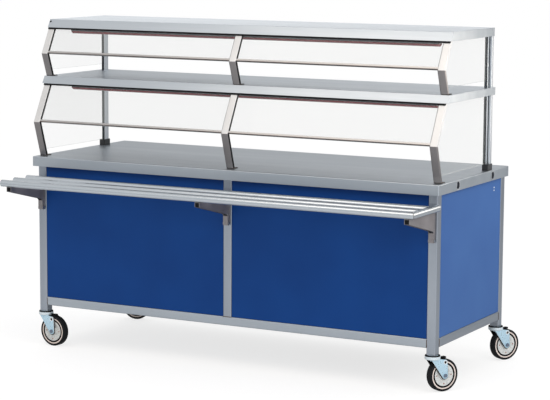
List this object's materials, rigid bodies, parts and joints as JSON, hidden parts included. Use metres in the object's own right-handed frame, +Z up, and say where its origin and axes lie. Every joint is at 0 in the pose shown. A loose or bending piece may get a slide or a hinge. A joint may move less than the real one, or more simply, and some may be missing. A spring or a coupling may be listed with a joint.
{
  "type": "mobile serving counter",
  "caption": "Mobile stainless serving counter on swivel casters, with blue panels, a glazed tiered display stand and a fold-down tubular tray slide.",
  "frame": {"origin": "on the floor, at the middle of the footprint's bounding box", "axes": "+X along the counter to its right end as the customer sees it, +Y from the customer's side to the operator's side, +Z up"},
  "size_m": [1.9221, 1.0317, 1.397],
  "materials": {
    "stainless": "brushed stainless sheet and tube",
    "dark_stainless": "satin stainless, darker tone",
    "front_panel_blue": "royal blue powder coat",
    "end_panel_blue": "lighter blue powder coat",
    "glass": "clear, polished edges",
    "black_plastic": "matt black",
    "lamp_grey": "satin grey",
    "lamp_lens": "red-brown, glossy",
    "zinc": "bright zinc plating, bluish",
    "hub_white": "off-white, slightly glossy",
    "tyre_black": "black rubber"
  },
  "bodies": {
    "counter": {"counter_top": "stainless", "link_cups": "stainless", "leg_front_left": "stainless", "leg_front_right": "stainless", "leg_rear_left": "stainless", "leg_rear_right": "stainless", "centre_post": "stainless", "front_rail": "stainless", "rear_rail": "stainless", "end_rails": "stainless", "top_rails": "stainless", "front_panel_left": "front_panel_blue", "front_panel_right": "front_panel_blue", "end_panel_left": "end_panel_blue", "end_panel_right": "end_panel_blue", "undershelf": "stainless", "panel_rivets": "stainless", "lower_posts": "dark_stainless", "upper_posts": "dark_stainless", "rear_posts": "stainless", "post_feet": "dark_stainless", "post_shoes": "black_plastic", "middle_shelf": "stainless", "top_shelf": "stainless", "shelf_trims": "black_plastic", "lower_front_glass": "glass", "upper_front_glass": "glass", "lower_end_glass": "glass", "upper_end_glass": "glass", "knee_rails": "stainless", "glass_channels": "stainless", "channel_screws": "stainless", "lamp_housings": "lamp_grey", "lamp_lenses": "lamp_lens", "hinge_lugs": "dark_stainless", "hinge_pins": "stainless", "caster_stems": "zinc", "dust_rings": "black_plastic"},
    "tray_slide": {"slide_front_bar": "stainless", "slide_middle_bar": "stainless", "slide_rear_bar": "stainless", "slide_end_bar": "stainless", "bar_end_caps": "stainless", "slide_brackets": "dark_stainless"},
    "swivel_front_left": {"fork_front_left": "zinc", "axle_front_left": "zinc"},
    "wheel_front_left": {"hub_front_left": "hub_white", "tyre_front_left": "tyre_black"},
    "swivel_front_right": {"fork_front_right": "zinc", "axle_front_right": "zinc"},
    "wheel_front_right": {"hub_front_right": "hub_white", "tyre_front_right": "tyre_black"},
    "swivel_rear_left": {"fork_rear_left": "zinc", "axle_rear_left": "zinc"},
    "wheel_rear_left": {"hub_rear_left": "hub_white", "tyre_rear_left": "tyre_black"},
    "swivel_rear_right": {"fork_rear_right": "zinc", "axle_rear_right": "zinc"},
    "wheel_rear_right": {"hub_rear_right": "hub_white", "tyre_rear_right": "tyre_black"}
  },
  "joints": [
    {"name": "slide_fold", "type": "hinge", "parent": "counter", "child": "tray_slide", "pos_m": [-0.01719, -0.26916, 0.6], "axis": [1, 0, 0], "range_deg": [0, 90]},
    {"name": "swivel_turn_front_left", "type": "hinge", "parent": "counter", "child": "swivel_front_left", "pos_m": [-0.92419, -0.24166, 0.138], "axis": [0, 0, 1], "continuous": true},
    {"name": "wheel_spin_front_left", "type": "hinge", "parent": "swivel_front_left", "child": "wheel_front_left", "pos_m": [-0.87837, -0.24566, 0.065], "axis": [-0.0872, -0.9962, 0], "continuous": true},
    {"name": "swivel_turn_front_right", "type": "hinge", "parent": "counter", "child": "swivel_front_right", "pos_m": [0.8898, -0.24166, 0.138], "axis": [0, 0, 1], "continuous": true},
    {"name": "wheel_spin_front_right", "type": "hinge", "parent": "swivel_front_right", "child": "wheel_front_right", "pos_m": [0.91418, -0.20265, 0.065], "axis": [0.848, -0.5299, 0], "continuous": true},
    {"name": "swivel_turn_rear_left", "type": "hinge", "parent": "counter", "child": "swivel_rear_left", "pos_m": [-0.92419, 0.41434, 0.138], "axis": [0, 0, 1], "continuous": true},
    {"name": "wheel_spin_rear_left", "type": "hinge", "parent": "swivel_rear_left", "child": "wheel_rear_left", "pos_m": [-0.8792, 0.42391, 0.065], "axis": [0.2079, -0.9781, 0], "continuous": true},
    {"name": "swivel_turn_rear_right", "type": "hinge", "parent": "counter", "child": "swivel_rear_right", "pos_m": [0.8898, 0.41434, 0.138], "axis": [0, 0, 1], "continuous": true},
    {"name": "wheel_spin_rear_right", "type": "hinge", "parent": "swivel_rear_right", "child": "wheel_rear_right", "pos_m": [0.91418, 0.45335, 0.065], "axis": [0.848, -0.5299, 0], "continuous": true}
  ]
}
